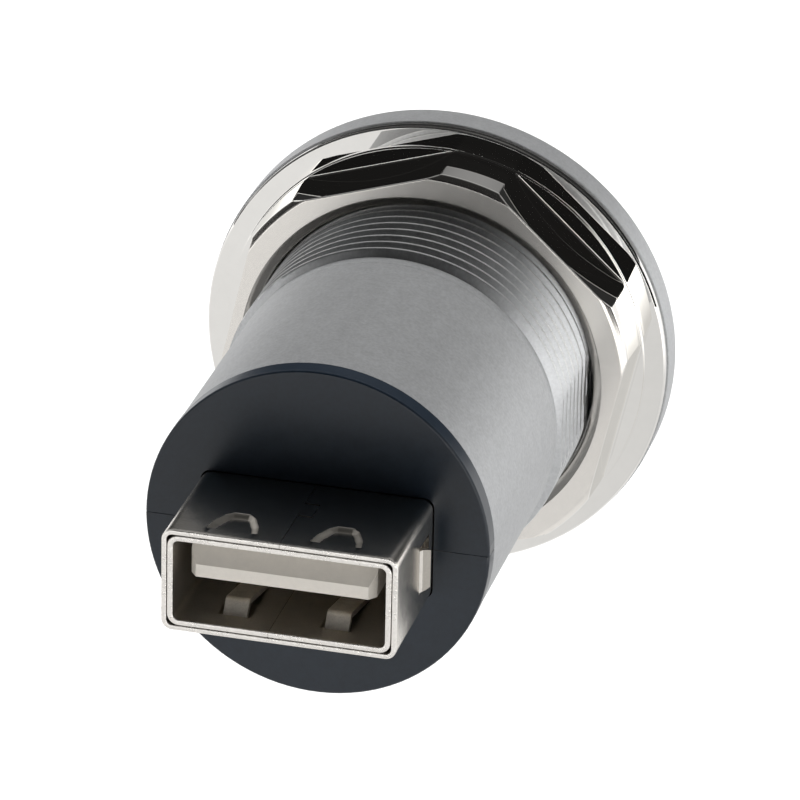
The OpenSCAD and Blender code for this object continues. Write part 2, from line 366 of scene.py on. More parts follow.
def dress(piece: bpy.types.Object, finishes: Sequence["Finish"], body: Body, node: str) -> None:
    """Gives a piece its finishes, its body and the node that it stands for.

    Args:
        piece: The object.
        finishes: What its surfaces are, the main one first.
        body: The body that it moves with.
        node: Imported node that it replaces.
    """
    for finish in finishes:
        piece.data.materials.append(finish.material())
    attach(piece, body.value)
    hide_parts(node)
    LOG.info("%s: %d faces, stands for %s", piece.name, len(piece.data.polygons), node)


@dataclass(frozen=True)
class Finish:
    """A surface: its material, how it was made and what that gives the eye.

    Widths and depths are millimetres. The mottle is a share of the colour, and the spread one of the
    roughness.
    """

    name: str
    slot: str
    colour: str
    roughness: float
    grain: float
    grain_depth: float
    metallic: float = 0.0
    ior: float = 1.5
    mottle: float = 0.05
    mottle_width: float = 0.8
    rough_spread: float = 0.08

    def material(self) -> bpy.types.Material:
        """Returns this finish's material, made on first use."""
        made = bpy.data.materials.get(self.name)
        if made is None:
            made = bpy.data.materials.new(self.name)
            made.use_nodes = True
            made.node_tree.nodes.clear()
            self.surface(made.node_tree)
        return made

    def surface(self, tree: bpy.types.NodeTree) -> None:
        """Builds the shader: a faint mottle in colour and gloss, and a fine grain in relief.

        Args:
            tree: The material's empty node tree.
        """
        add = partial(add_node, tree)
        where = add("TexCoord").outputs["Object"]
        spots, grit = (
            add(
                "TexNoise",
                values={"Scale": 1 / (width * MM), "Detail": detail, "Roughness": rough},
                links={"Vector": where},
            )
            for width, detail, rough in ((self.mottle_width, 4.0, 0.6), (self.grain, 2.0, 0.55))
        )
        both = add("Math", {"operation": "ADD"}, links={0: spots, 1: grit})
        # One noise stays nearly everywhere between 0.3 and 0.7, and the sum of both between 0.7 and 1.3.
        shade, gloss = (
            add(
                "MapRange",
                values={"From Min": low, "From Max": high, "To Min": mid - part, "To Max": mid + part},
                links={"Value": source},
            )
            for source, low, high, mid, part in (
                (both, 0.7, 1.3, 1.0, self.mottle),
                (spots, 0.3, 0.7, self.roughness, self.roughness * self.rough_spread),
            )
        )
        colours = {"data_type": "RGBA", "blend_type": "MULTIPLY"}
        tint = add("Mix", colours, {"Factor": 1.0, 6: linear(self.colour)}, {7: shade})
        deep = {"Strength": 1.0, "Distance": self.grain_depth * MM}
        relief = add("Bump", values=deep, links={"Height": grit})
        shader = add(
            "BsdfPrincipled",
            values={"Metallic": self.metallic, "IOR": self.ior},
            links={"Base Color": tint.outputs[2], "Roughness": gloss, "Normal": relief},
        )
        add("OutputMaterial", links={"Surface": shader})


# Aluminium, fine blasted and clear anodised: a soft grey that turns from dark to light with the
# light's direction and shows no clear reflection. The blasting's pits are about 0.06 mm, too fine to
# show, so the grain is drawn at 0.2 mm, here and on the next three.
BLASTED_ALUMINIUM = Finish(
    "aluminium_blasted_anodised", "housing_grey", "#bebfc0", roughness=0.58, metallic=0.8,
    grain=0.2, grain_depth=0.014, mottle=0.1,
)
# The same on the bezel, a shade lighter and with a finer grain.
FINE_ALUMINIUM = Finish(
    "aluminium_fine_blasted", "housing_grey", "#cacbcc", roughness=0.58, metallic=0.8,
    grain=0.2, grain_depth=0.008, mottle=0.07,
)
# The same on the cut thread, which the blasting spares: smoother, so it darkens and lightens faster.
CUT_ALUMINIUM = Finish(
    "aluminium_cut_anodised", "housing_grey", "#c6c7c8", roughness=0.4, metallic=0.96,
    grain=0.2, grain_depth=0.006, mottle=0.08,
)
# The same aluminium on the thread's crests, drawn brighter: a painted highlight for the light they catch.
CREST_HIGHLIGHT_ALUMINIUM = Finish(
    "aluminium_crest_painted_highlight", "housing_grey", "#dcdddd", roughness=0.42, metallic=0.86,
    grain=0.2, grain_depth=0.004, mottle=0.08,
)
# Brass plated with bright nickel: a clear warm mirror with sharp black and white shapes, which the
# polishing leaves faintly wavy over about 1.5 mm.
BRIGHT_NICKEL = Finish(
    "nickel_bright_plated", "nut_plate", "#f2f0ec", roughness=0.014, metallic=1.0,
    grain=1.5, grain_depth=0.0001, mottle=0.015,
)
# The same plating over the faced rear of the nut: the cutter's marks, about 0.3 mm apart, make it a
# satin mirror.
TURNED_NICKEL = Finish(
    "nickel_over_turned_face", "nut_plate", "#efebe5", roughness=0.24, metallic=1.0,
    grain=0.3, grain_depth=0.0004, mottle=0.02,
)
# Steel strip, nickel plated in the roll: a satin mirror with a faint grain. The rolling's grain is
# under 0.05 mm, too fine to show, so it is drawn at about 0.1 mm, here and on the next two.
PLATED_SHEET = Finish(
    "steel_strip_nickel_plated", "plated_sheet", "#ebe6de", roughness=0.23, metallic=1.0,
    grain=0.12, grain_depth=0.006, mottle=0.05,
)
# The same strip inside, on the press marks and on the tabs: rougher, and darker as painted shade.
SHADED_DULL_SHEET = Finish(
    "steel_strip_rough_painted_shade", "plated_sheet", "#b6b1a9", roughness=0.5, metallic=1.0,
    grain=0.12, grain_depth=0.008, mottle=0.08,
)
# The spring fingers' strip, plated after it was lanced: pale and satin.
SPRING_STRIP = Finish(
    "steel_strip_nickel_satin", "plated_sheet", "#f4efe6", roughness=0.5, metallic=1.0,
    grain=0.1, grain_depth=0.008, mottle=0.1,
)
# The strip's sheared and plated edge, with the shear's coarse grain of 0.13 mm; its lighter colour is a
# painted highlight.
SHEARED_EDGE = Finish(
    "steel_strip_sheared_edge", "plated_sheet", "#f6f2ec", roughness=0.28, metallic=1.0,
    grain=0.13, grain_depth=0.03, mottle=0.06,
)
# Glass-filled polyamide, moulded against a fine spark finish of 0.2 mm: black, with a dull sheen.
BLACK_MOULDING = Finish(
    "polyamide_black_moulded", "black_moulding", "#18212b", roughness=0.3,
    grain=0.2, grain_depth=0.003, mottle=0.12,
)
# Liquid crystal polymer, moulded smooth: warm off-white, half gloss.
PALE_MOULDING = Finish(
    "polymer_offwhite_moulded", "pale_moulding", "#e6e0d6", roughness=0.4,
    grain=0.3, grain_depth=0.002, mottle=0.03,
)
# Phosphor bronze with a gold flash: warm yellow and bright.
GOLD_FLASH = Finish(
    "bronze_gold_flashed", "contact_gold", "#cfb275", roughness=0.3, metallic=1.0,
    grain=0.2, grain_depth=0.001,
)
# Nitrile rubber, moulded: deep black and dull.
NITRILE = Finish(
    "nitrile_moulded", "seal_rubber", "#18181a", roughness=0.7,
    grain=0.3, grain_depth=0.006, mottle=0.1,
)
# Glass laminate under green solder resist: dark green with a soft gloss, and a weave of about 0.4 mm.
LAMINATE = Finish(
    "laminate_green_resist", "board_laminate", "#1c5a34", roughness=0.3,
    grain=0.4, grain_depth=0.004, mottle=0.1,
)


@dataclass(frozen=True)
class Thread:
    """One right-hand screw thread, drawn as a true helix.

    The side is half of one ridge from its crest, as shares of the pitch and of the height.
    """

    root: float
    crest: float
    start: float
    end: float
    crest_back: float
    run_in: float
    run_out: float
    pitch: float = 1.0
    side: Stops = (
        (0.07, 1.0), (0.1, 0.955), (0.14, 0.838), (0.265, 0.47), (0.38, 0.132), (0.415, 0.04), (0.45, 0.0),
    )

    def rows(self, angles: np.ndarray) -> tuple[np.ndarray, np.ndarray]:
        """Lays rows along the helix, held between the thread's two ends.

        Args:
            angles: Column angles from 0 to a full turn, both included.

        Returns:
            Radii and back distances, as (rows, columns).
        """
        wave = [(-f, h) for f, h in reversed(self.side)] + [(0.0, 1.0), *self.side]
        low = math.floor((self.start - self.crest_back) / self.pitch) - 1
        high = math.ceil((self.end - self.crest_back) / self.pitch) + 1
        turns = range(low, high)
        line = np.array([(self.crest_back + (i + f) * self.pitch, h) for i in turns for f, h in wave])
        back = line[:, :1] + self.pitch * (angles / (2 * math.pi))[None, :]
        back = np.clip(back, self.start, self.end)
        inside = np.minimum((back - self.start) / self.run_in, (self.end - back) / self.run_out)
        return self.root + (self.crest - self.root) * line[:, 1:] * np.clip(inside, 0, 1), back


@dataclass
class Housing:
    """Bezel, threaded neck and barrel, turned from one bar.

    A fine line is turned into the barrel behind the neck, and the strip before it is a hair under size.
    """

    bezel_r: float = 14.82
    bezel_h: float = 2.3
    bore_r: float = 9.25
    mouth_cut: float = 0.4
    seal_r: tuple[float, float] = (11.7, 13.9)
    seal_deep: float = 0.8
    snap_back: tuple[float, float] = (1.35, 2.25)
    snap_deep: float = 0.2
    root_r: float = 10.187
    crest_r: float = 10.8
    crest_back: float = 10.43
    crest_band: float = 0.05
    flat_x: float = 10.52
    neck_len: float = 11.12
    relief: float = 0.9
    shoulder: float = 0.05
    barrel_r: float = 10.4
    barrel_end: float = 27.3
    lead_in: float = 0.07
    strip_under: float = 0.004
    line_gap: float = 0.93
    line_half: float = 0.06
    line_deep: float = 0.035
    columns: int = 256

    def front_section(self) -> Section:
        """Returns the line from the bore's mouth over the bezel to the thread's relief."""
        inner, outer = self.seal_r
        return rounded(
            [
                (self.bore_r, self.mouth_cut - self.bezel_h, 0),
                (self.bore_r + self.mouth_cut, -self.bezel_h, 0.06),
                (self.bezel_r, -self.bezel_h, 0.5),
                (self.bezel_r, 0, 0.07),
                (outer, 0, 0.04),
                (outer, -self.seal_deep, 0),
                (inner, -self.seal_deep, 0),
                (inner, 0, 0.04),
                (self.root_r, 0, 0.12),
                (self.root_r, self.relief, 0),
            ]
        )

    def rear_section(self) -> Section:
        """Returns the line from the thread's end over the barrel and back through the bore."""
        line = self.neck_len + self.line_gap
        front, rear = self.snap_back
        groove_r = self.bore_r + self.snap_deep
        return rounded(
            [
                (self.root_r, self.neck_len - self.shoulder, 0),
                (self.barrel_r - self.lead_in, self.neck_len, 0.03),
                (self.barrel_r - self.strip_under, line - self.line_half, 0.01),
                (self.barrel_r - self.line_deep, line, 0.01),
                (self.barrel_r, line + self.line_half, 0.01),
                (self.barrel_r, self.barrel_end, 0.1),
                (self.bore_r, self.barrel_end, 0.05),
                (self.bore_r, rear, 0),
                (groove_r, rear, 0),
                (groove_r, front, 0),
                (self.bore_r, front, 0),
            ],
            3,
        )

    def build(self) -> None:
        """Turns the housing and cuts the two flats of the neck."""
        angles = np.linspace(0, 2 * math.pi, self.columns + 1)
        edge = math.acos(self.flat_x / self.crest_r)
        for target in (edge, math.pi - edge, math.pi + edge, 2 * math.pi - edge):
            angles[np.argmin(np.abs(angles - target))] = target
        thread_end = self.neck_len - self.shoulder
        neck = Thread(
            self.root_r, self.crest_r, self.relief, thread_end, self.crest_back, run_in=0.8, run_out=0.16
        )
        parts = [rings(self.front_section()), neck.rows(angles), rings(self.rear_section())]
        points = np.concatenate([turned(r, b, angles) for r, b in parts])
        on_neck = (points[..., 1] < 0) & (points[..., 1] > -self.neck_len)
        held = np.clip(points[..., 0], -self.flat_x, self.flat_x)
        points[..., 0] = np.where(on_neck, held, points[..., 0])
        skin = Skin()
        skin.loop_grid(points)
        piece = skin.build("turned_housing")
        soften(piece, 0, limit=32)
        finishes = [BLASTED_ALUMINIUM, CREST_HIGHLIGHT_ALUMINIUM, FINE_ALUMINIUM, CUT_ALUMINIUM]
        _, crest_lit, fine, cut = range(len(finishes))
        cut_from = 0.4
        for face in piece.data.polygons:
            x, y, z = face.center / MM
            # The crests take the brighter aluminium, a painted highlight.
            if -self.neck_len < y < 0 and math.hypot(x, z) > self.crest_r - self.crest_band:
                face.material_index = crest_lit
            elif -self.neck_len < y < -cut_from:
                face.material_index = cut
            elif y > 0:
                face.material_index = fine
        dress(piece, finishes, Body.ADAPTER, "housing")


@dataclass
class ClampNut:
    """Flanged hexagon nut with turned corners, drawn as radii round the axis.

    The levels are the rows up its walls, close together where the corners are cut back. The edge gives
    the rounding at its rear: how far in, and how far before the rear face.
    """

    flat_r: float = 12.25
    hub_r: float = 13.2
    draft: float = math.tan(math.radians(3))
    flange_r: float = 14.72
    flange_t: float = 0.7
    flange_edge: float = 0.1
    ledge_t: float = 0.2
    height: float = 4.5
    corner_cut: float = 0.3
    bore_r: float = 10.85
    thread_deep: float = 0.35
    sink: float = 0.7
    sink_step: tuple[float, float] = (0.14, 0.36)
    turn: float = 47.5
    edge_blend: float = 0.03
    foot_round: float = 0.08
    levels: tuple[float, ...] = (1.2, 1.7, 2.6, 3.5, 3.9, 4.1, 4.18, 4.22, 4.28, 4.34, 4.4)
    edge: Stops = ((0.012, 0.02), (0.04, 0.005), (0.075, 0.0), (0.12, 0.0))

    def columns(self) -> np.ndarray:
        """Returns the column angles, close together where a flat turns into a corner."""
        close = [*np.arange(18, 21.1, 0.4), *np.arange(21.2, 22.5, 0.1), *np.arange(22.8, 26, 0.6)]
        half = [*np.arange(0, 17.6, 2.5), *close, 27.0, 28.5]
        sector = sorted({-h for h in half[1:]} | set(half) | {30.0})
        turns = [self.turn + 60 * k + s for k in range(6) for s in sector]
        return np.radians(np.array([*turns, turns[0] + 360]))

    def ledge_r(self) -> float:
        """Returns the radius of the ledge between the flange and the hexagon."""
        return self.hub_r + (self.height - self.flange_t) * self.draft

    def wall(self, angles: np.ndarray, back: float) -> np.ndarray:
        """Gives the hexagon's radius at one height.

        Args:
            angles: Column angles in radians.
            back: Back distance in millimetres.

        Returns:
            One radius for each column.
        """
        off = (np.degrees(angles) - self.turn + 30) % 60 - 30
        widen = (self.height - back) * self.draft
        flat = (self.flat_r + widen) / np.cos(np.radians(off))
        hub = self.hub_r + widen - max(0.0, back - self.height + self.corner_cut)
        share = np.clip(0.5 + 0.5 * (hub - flat) / self.edge_blend, 0, 1)
        return hub + (flat - hub) * share - self.edge_blend * share * (1 - share)

    def hexagon(self, angles: np.ndarray) -> tuple[np.ndarray, np.ndarray]:
        """Lays the rows from the ledge up the walls to the rear face.

        Args:
            angles: Column angles in radians.

        Returns:
            Radii and back distances, as (rows, columns).
        """
        foot = self.flange_t + self.ledge_t
        most = self.ledge_r() - 0.06
        lap = 0.03
        rows = [(np.minimum(self.wall(angles, foot) + self.foot_round + lap, most), foot)]
        for t in np.linspace(90, 0, 6):
            back = foot + self.foot_round * (1 - math.sin(math.radians(t)))
            reach = self.wall(angles, back) + self.foot_round * (1 - math.cos(math.radians(t)))
            rows.append((np.minimum(reach, most), back))
        rows += [(self.wall(angles, back), back) for back in self.levels]
        last, eased = self.height - 0.05, 0.006
        rows.append((self.wall(angles, last) - eased, last))
        top = self.wall(angles, self.height)
        rows += [(top - inward, self.height - before) for inward, before in self.edge]
        rows.append(((top + self.bore_r + self.sink + 0.05) / 2, self.height))
        return np.array([r for r, _ in rows]), np.array([[b] for _, b in rows])

    def build(self) -> None:
        """Builds the nut as one closed skin with its inner thread."""
        angles = self.columns()
        full = np.linspace(0, 2 * math.pi, len(angles))
        ledge_r = self.ledge_r()
        ledge = self.flange_t + self.ledge_t
        rim = self.flange_r - self.flange_edge
        flange = rounded(
            [
                (self.bore_r + 0.4, 0, 0),
                (rim, 0, 0.02),
                (self.flange_r, self.flange_edge, 0.02),
                (self.flange_r, self.flange_t - 0.12, 0.02),
                (rim, self.flange_t, 0.03),
                (rim - 0.1, self.flange_t, 0),
                (ledge_r + 0.12, self.flange_t, 0),
                (ledge_r, self.flange_t, 0.05),
                (ledge_r, ledge, 0.05),
                (ledge_r - 0.055, ledge, 0),
            ]
        )
        step_r, step_deep = self.sink_step
        sink = rounded(
            [
                (self.bore_r + self.sink + 0.1, self.height, 0),
                (self.bore_r + self.sink, self.height, 0.05),
                (self.bore_r + step_r, self.height - step_deep, 0.06),
                (self.bore_r, self.height - self.sink, 0),
            ]
        )
        thread_r, thread_end = self.bore_r + self.thread_deep, self.height - self.sink - 0.05
        inner = Thread(
            self.bore_r, thread_r, start=0.45, end=thread_end, crest_back=0.0, run_in=0.1, run_out=0.1
        )
        radius, back = inner.rows(full)
        parts = [rings(flange), self.hexagon(angles), rings(sink), (radius[::-1], back[::-1])]
        skin = Skin()
        skin.loop_grid(np.concatenate([turned(r, b, angles) for r, b in parts]))
        piece = skin.build("clamping_nut")
        soften(piece, 0, limit=32)
        sunk_back = self.height - self.sink + 0.02
        inside_r = self.bore_r + 0.5
        for face in piece.data.polygons:
            x, y, z = face.center / MM
            faced = face.normal.y < -0.6 and y < -sunk_back
            face.material_index = int(faced or math.hypot(x, z) < inside_r)
        dress(piece, [BRIGHT_NICKEL, TURNED_NICKEL], Body.NUT, "clamp_nut")


@dataclass
class Carrier:
    """The two black halves, taken from the solids and eased along the edges that show."""

    part_line: float = 0.05
    mouth_edge: float = 0.06
    mouth_back: float = 28.5
    mouth_r: float = 9.0
    disc_back: float = 27.28
    front_face: float = 1.7
    least_angle: float = 50.0

    def shows(self, edge: bmesh.types.BMEdge) -> float:
        """Tells how wide an edge is eased.

        Args:
            edge: An edge of the solid.

        Returns:
            The width in millimetres, or 0 for an edge that stays sharp.
        """
        if len(edge.link_faces) != 2 or edge.calc_face_angle(0) < math.radians(self.least_angle):
            return 0.0
        ends = [v.co / MM for v in edge.verts]
        near = 1e-3
        if all(abs(p.z) < near and (p.y < -self.disc_back or p.y > self.front_face) for p in ends):
            return self.part_line
        if all(abs(p.y + self.mouth_back) < near and math.hypot(p.x, p.z) < self.mouth_r for p in ends):
            return self.mouth_edge
        return 0.0

    def build(self) -> None:
        """Builds both halves."""
        for node in ("carrier_upper", "carrier_lower"):
            shape = solid_shape(node)
            for width in (self.part_line, self.mouth_edge):
                edges = [e for e in shape.edges if self.shows(e) == width]
                how = {"segments": 2, "profile": 0.5, "affect": "EDGES", "clamp_overlap": True}
                bmesh.ops.bevel(shape, geom=edges, offset=width * MM, **how)
            piece = link(shape, bpy.data.meshes.new(f"black_{node}"))
            soften(piece, 0, limit=30)
            dress(piece, [BLACK_MOULDING], Body.ADAPTER, node)


def ring(
    width: float,
    height: float,
    radius: float,
    top: Sequence[float],
    low: Sequence[float],
    side: Sequence[float],
) -> np.ndarray:
    """Walks round a rectangle with round corners.

    Args:
        width: Outside width.
        height: Outside height.
        radius: Outside corner radius.
        top: Stations across the top, from left to right.
        low: Stations across the bottom.
        side: Stations up each side.

    Returns:
        Rows of (across, up, normal across, normal up), counter-clockwise from the right side's foot.
    """
    x, z = width / 2, height / 2
    rows: list[tuple[float, float, float, float]] = []

    def corner(sx: int, sz: int, start: float) -> None:
        """Adds the stations of one corner."""
        for t in np.radians(start + np.linspace(0, 90, 9)):
            c, s = math.cos(t), math.sin(t)
            rows.append((sx * (x - radius) + radius * c, sz * (z - radius) + radius * s, c, s))

    rows += [(x, s, 1, 0) for s in side]
    corner(1, 1, 0)
    rows += [(s, z, 0, 1) for s in reversed(top)]
    corner(-1, 1, 90)
    rows += [(-x, s, -1, 0) for s in reversed(side)]
    corner(-1, -1, 180)
    rows += [(s, -z, 0, -1) for s in low]
    corner(1, -1, 270)
    return np.array(rows)


def unpressed(walk: np.ndarray, depths: np.ndarray) -> np.ndarray:
    """Gives the offsets of a tube without press marks."""
    return np.zeros((len(walk), len(depths)))


def tube(
    skin: Skin,
    end: End,
    walk: np.ndarray,
    depths: np.ndarray,
    sheet: float,
    lift: Callable[[np.ndarray, np.ndarray], np.ndarray],
    cut: Callable[[float, float, float], bool],
) -> None:
    """Adds a bent sheet tube with a round rim to a piece.

    Args:
        skin: The piece.
        end: The end that the tube sits at.
        walk: Stations from ring().
        depths: Distances from the rim.
        sheet: Thickness of the sheet.
        lift: Gives how far the outer skin stands off, from the stations and the depths.
        cut: Tells whether the cell at (across, up, depth) is cut out.
    """
    # The rim's two edges are rounded over this much of the sheet.
    rim = 0.16 * sheet
    curve = rim * (1 - np.cos(np.radians([0, 25, 45, 65, 90])))
    depths = np.array([*curve, *depths[depths > rim + 0.01]])
    place, normal = walk[:, None, :2], walk[:, None, 2:]
    deep = np.broadcast_to(depths[None, :, None], (len(walk), len(depths), 1))
    ease = rim - np.sqrt(rim**2 - np.clip(rim - depths, 0, rim) ** 2)[None, :, None]
    outer = np.concatenate([place + normal * (lift(walk, depths)[..., None] - ease), deep], axis=-1)
    inner = np.concatenate([place - normal * (sheet - ease), deep], axis=-1)
    nxt = np.roll(walk, -1, axis=0)
    gone = np.zeros((len(walk), len(depths) - 1), bool)
    for u in range(len(walk)):
        x, z = (walk[u, :2] + nxt[u, :2]) / 2
        for d in range(len(depths) - 1):
            gone[u, d] = cut(x, z, (depths[d] + depths[d + 1]) / 2)
    # The inner skin takes the piece's second finish; on the sleeve and the shells that is the darker strip,
    # painted shade inside.
    skin.sheet(end.place(outer), end.place(inner), gone, skins=(0, 1))


@dataclass
class Sleeve:
    """Outer screening sleeve of the rear socket, bent from strip with a dovetail seam on top.

    The dimple's stops give its half width from its near end on. A row of the tab is how far it stands
    out, how deep it lies past the window's edge, its half width, and its normal out and inward.
    """

    width: float = 14.05
    height: float = 6.41
    corner: float = 0.65
    sheet: float = 0.3
    length: float = 12.55
    foot_out: float = 0.45
    seam: float = 0.03
    seam_step: float = -0.87
    seam_from: float = 3.96
    seam_to: float = 5.61
    step_gap: float = 0.12
    window_from: float = 5.11
    window_to: float = 7.21
    window_half: float = 1.5
    dimple_x: float = 3.1
    dimple_near: float = 0.91
    dimple_deep: float = 0.24
    dimple_half: Stops = ((0.0, 1.58), (0.9, 1.42), (1.9, 0.98), (2.4, 0.45))
    dimple_slope: float = 0.85
    near_wall: float = 0.1
    side_wall: float = 0.42
    tab_clear: float = 0.095
    tab_rows: tuple[tuple[float, ...], ...] = (
        (0.0, 0.0, 1.35, 1.0, 0.0),
        (0.04, 0.1, 1.35, 0.94, -0.34),
        (0.14, 0.24, 1.34, 0.83, -0.55),
        (0.3, 0.44, 1.3, 0.78, -0.63),
        (0.5, 0.68, 1.18, 0.78, -0.63),
    )

    def press(self, walk: np.ndarray, depths: np.ndarray) -> np.ndarray:
        """Gives the press marks in the top and the turned-out foot.

        Args:
            walk: Stations round the sleeve.
            depths: Distances from the rim.

        Returns:
            Offsets of the outer skin, as (stations, depths).
        """
        along = depths[None, :] - self.dimple_near
        half = np.interp(along, *zip(*self.dimple_half))
        across = np.abs(np.abs(walk[:, :1]) - self.dimple_x)
        wall = np.minimum((half - across) * self.dimple_slope, self.dimple_half[-1][0] - along)
        near = smooth_step(along, 0, self.near_wall)
        mark = self.dimple_deep * near * smooth_step(wall, 0, self.side_wall)
        on_top = walk[:, 3:] > 0.9
        off = np.where(on_top & (along > 0), -mark, 0.0)
        return np.where(depths[None, :] > self.length - self.sheet + 1e-6, self.foot_out, off)

    def cut(self, x: float, z: float, depth: float) -> bool:
        """Tells whether a cell lies in the seam or in a side window."""
        if abs(x) > self.width / 2 - self.sheet and abs(z) < self.window_half:
            return self.window_from < depth < self.window_to
        if z < self.height / 2 - self.sheet:
            return False
        w = self.seam / 2
        stepped = self.seam_from < depth < self.seam_to
        if abs(x - (self.seam_step if stepped else 0)) < w:
            return True
        near_step = min(abs(depth - self.seam_from), abs(depth - self.seam_to)) < self.step_gap / 2
        return near_step and self.seam_step - w < x < w

    def tab(self, skin: Skin, side: int) -> None:
        """Adds the lanced tab that leans out of one side window.

        Args:
            skin: The sleeve's piece.
            side: 1 or -1, the side of the sleeve.
        """
        up = np.linspace(-1, 1, 9)
        outer, inner = [], []
        for out, past, half, n, m in self.tab_rows:
            x, depth = self.width / 2 + out, self.window_from + past
            outer.append([(side * x, half * s, depth) for s in up])
            inner.append([(side * (x - n * self.sheet), half * s, depth - m * self.sheet) for s in up])
        solid = np.zeros((len(outer), len(up) - 1), bool)
        skin.sheet(End.REAR.place(np.array(outer)), End.REAR.place(np.array(inner)), solid, closed=False)

    def build(self) -> None:
        """Builds the sleeve with its marks, seam, windows and tabs."""
        w = self.seam / 2
        flat = self.width / 2 - self.corner
        marks = np.arange(1.4, 4.85, 0.06)
        cuts = (self.seam_step - w, self.seam_step + w, -w, w)
        top = stations(*marks, *-marks, *cuts, -5.8, -0.45, 0.5, 0.95, 5.8)
        low = np.linspace(-flat, flat, 15)[1:-1]
        side = (-2.0, -1.5, -0.75, 0, 0.75, 1.5, 2.0)
        near = np.arange(self.dimple_near, self.dimple_near + self.dimple_half[-1][0] + 0.1, 0.05)
        steps = [v + s * self.step_gap / 2 for v in (self.seam_from, self.seam_to) for s in (-1, 1)]
        windows = (self.window_from, 6.4, self.window_to)
        foot = self.length - self.sheet
        depths = [*stations(0, 0.3, *near, *steps, *windows), 8.2, 9.5, 11, foot, foot + 1e-3, self.length]
        walk = ring(self.width, self.height, self.corner, top, low, side)
        skin = Skin()
        tube(skin, End.REAR, walk, np.array(depths), self.sheet, self.press, self.cut)
        for s in (-1, 1):
            self.tab(skin, s)
        piece = skin.build("screening_sleeve", weld=0.0005)
        finishes = [PLATED_SHEET, SHADED_DULL_SHEET, SHEARED_EDGE]
        _, shaded_dull, sheared = range(len(finishes))
        # The press marks and the tabs take the darker strip, painted shade, as the inner skin does.
        marks_to, tabs_from = 5.0, self.width / 2 + self.tab_clear
        for face in piece.data.polygons:
            x, _, z = face.center / MM
            sloped = 0.2 < face.normal.z < 0.97
            pressed = sloped and abs(x) < marks_to and z > self.height / 2 - self.sheet
            # The rim takes the lighter sheared edge, partly a painted highlight.
            if End.REAR.at_rim(face):
                face.material_index = sheared
            elif pressed or abs(x) > tabs_from:
                face.material_index = shaded_dull
        soften(piece, 0, 50)
        dress(piece, finishes, Body.ADAPTER, "rear_outer_shell")


@dataclass
class SocketShell:
    """Inner shell of a socket with its four spring fingers."""

    end: End
    name: str
    node: str
    width: float = 13.27
    height: float = 5.68
    corner: float = 0.68
    sheet: float = 0.31
    length: float = 15.0
    slit_x: float = 0.6
    slit_half: float = 0.015
    finger_x: float = 3.05
    finger_half: float = 0.72
    low_bow: float = 0.8
    top_bow: float = 0.3
    tip_gap: float = 0.2
    tip_len: float = 0.62
    tip_lift: float = 0.1
    root_len: float = 0.5
    window_half: float = 1.0
    window_from: float = 1.45
    window_to: float = 6.7

    def cut(self, x: float, z: float, depth: float) -> bool:
        """Tells whether a cell lies in a finger's window or in the slit below."""
        if abs(z) < self.height / 2 - self.sheet:
            return False
        if z < 0 and abs(x - self.slit_x) < self.slit_half:
            return True
        return abs(abs(x) - self.finger_x) < self.window_half and self.window_from < depth < self.window_to

    def finger(self, skin: Skin, x: float, side: int, bow: float) -> None:
        """Adds one spring finger, rooted at the deep end of its window.

        Args:
            skin: The shell's piece.
            x: Middle of the finger.
            side: 1 for the top, -1 for the bottom.
            bow: How far it stands into the mouth.
        """
        z = self.height / 2 - self.sheet
        tip, root = self.window_from + self.tip_gap, self.window_to
        bends = [
            (root, z, 0),
            (root - self.root_len, z, 0.9),
            (tip + self.tip_len, z - bow, 0.4),
            (tip, z + self.tip_lift, 0),
        ]
        path = np.array(rounded(bends, 6))
        ahead = np.gradient(path, axis=0)
        normal = np.stack([-ahead[:, 1], ahead[:, 0]], axis=1) / np.linalg.norm(ahead, axis=1)[:, None]
        over = path - normal * self.sheet
        across = np.linspace(-self.finger_half, self.finger_half, 7)
        under = np.array([[(x + s, side * q, d) for s in across] for d, q in path])
        top = np.array([[(x + s, side * q, d) for s in across] for d, q in over])
        solid = np.zeros((len(path), len(across) - 1), bool)
        skin.sheet(self.end.place(top), self.end.place(under), solid, closed=False, skins=(2, 2))

    def build(self) -> None:
        """Builds the shell and its fingers."""
        straight = self.height / 2 - self.corner
        edges = [s * self.finger_x + t * self.window_half for s in (-1, 1) for t in (-1, 1)]
        top = sorted([*edges, -5, 0, 5])
        low = sorted([*top, self.slit_x - self.slit_half, self.slit_x + self.slit_half])
        side = np.linspace(-straight, straight, 7)[1:-1]
        depths = np.array([0, 0.4, 0.9, self.window_from, 3, 5, self.window_to, 9, 12, self.length])
        walk = ring(self.width, self.height, self.corner, top, low, side)
        skin = Skin()
        # The tube's inner skin takes the darker strip: painted shade inside the mouth.
        tube(skin, self.end, walk, depths, self.sheet, unpressed, self.cut)
        for s in (-1, 1):
            self.finger(skin, s * self.finger_x, -1, self.low_bow)
            self.finger(skin, s * self.finger_x, 1, self.top_bow)
        piece = skin.build(self.name, weld=0.0005)
        finishes = [PLATED_SHEET, SHADED_DULL_SHEET, SPRING_STRIP, SHEARED_EDGE]
        for face in piece.data.polygons:
            # The rim takes the lighter sheared edge, partly a painted highlight.
            if self.end.at_rim(face):
                face.material_index = finishes.index(SHEARED_EDGE)
        soften(piece, 0, 50)
        dress(piece, finishes, Body.ADAPTER, self.node)


@dataclass
class Insert:
    """A small moulded or stamped piece, taken from its solid and eased along its edges."""

    node: str
    finish: Finish
    ease: float

    def build(self) -> None:
        """Builds the piece."""
        piece = link(solid_shape(self.node), bpy.data.meshes.new(f"{self.node}_eased"))
        soften(piece, self.ease, 30)
        dress(piece, [self.finish], Body.ADAPTER, self.node)


@dataclass(frozen=True)
class BoxPair:
    """A soft box at each side of the room, as the plating sees it.

    The spans are parts of a direction of length one, over which the boxes come up to the side, along Y
    and upward. The levels of a box are those of its low and of its high end.
    """

    across: tuple[float, float]
    along: tuple[float, float]
    left: tuple[float, float]
    right: tuple[float, float]
    up: tuple[float, float] = (0.25, 0.5)


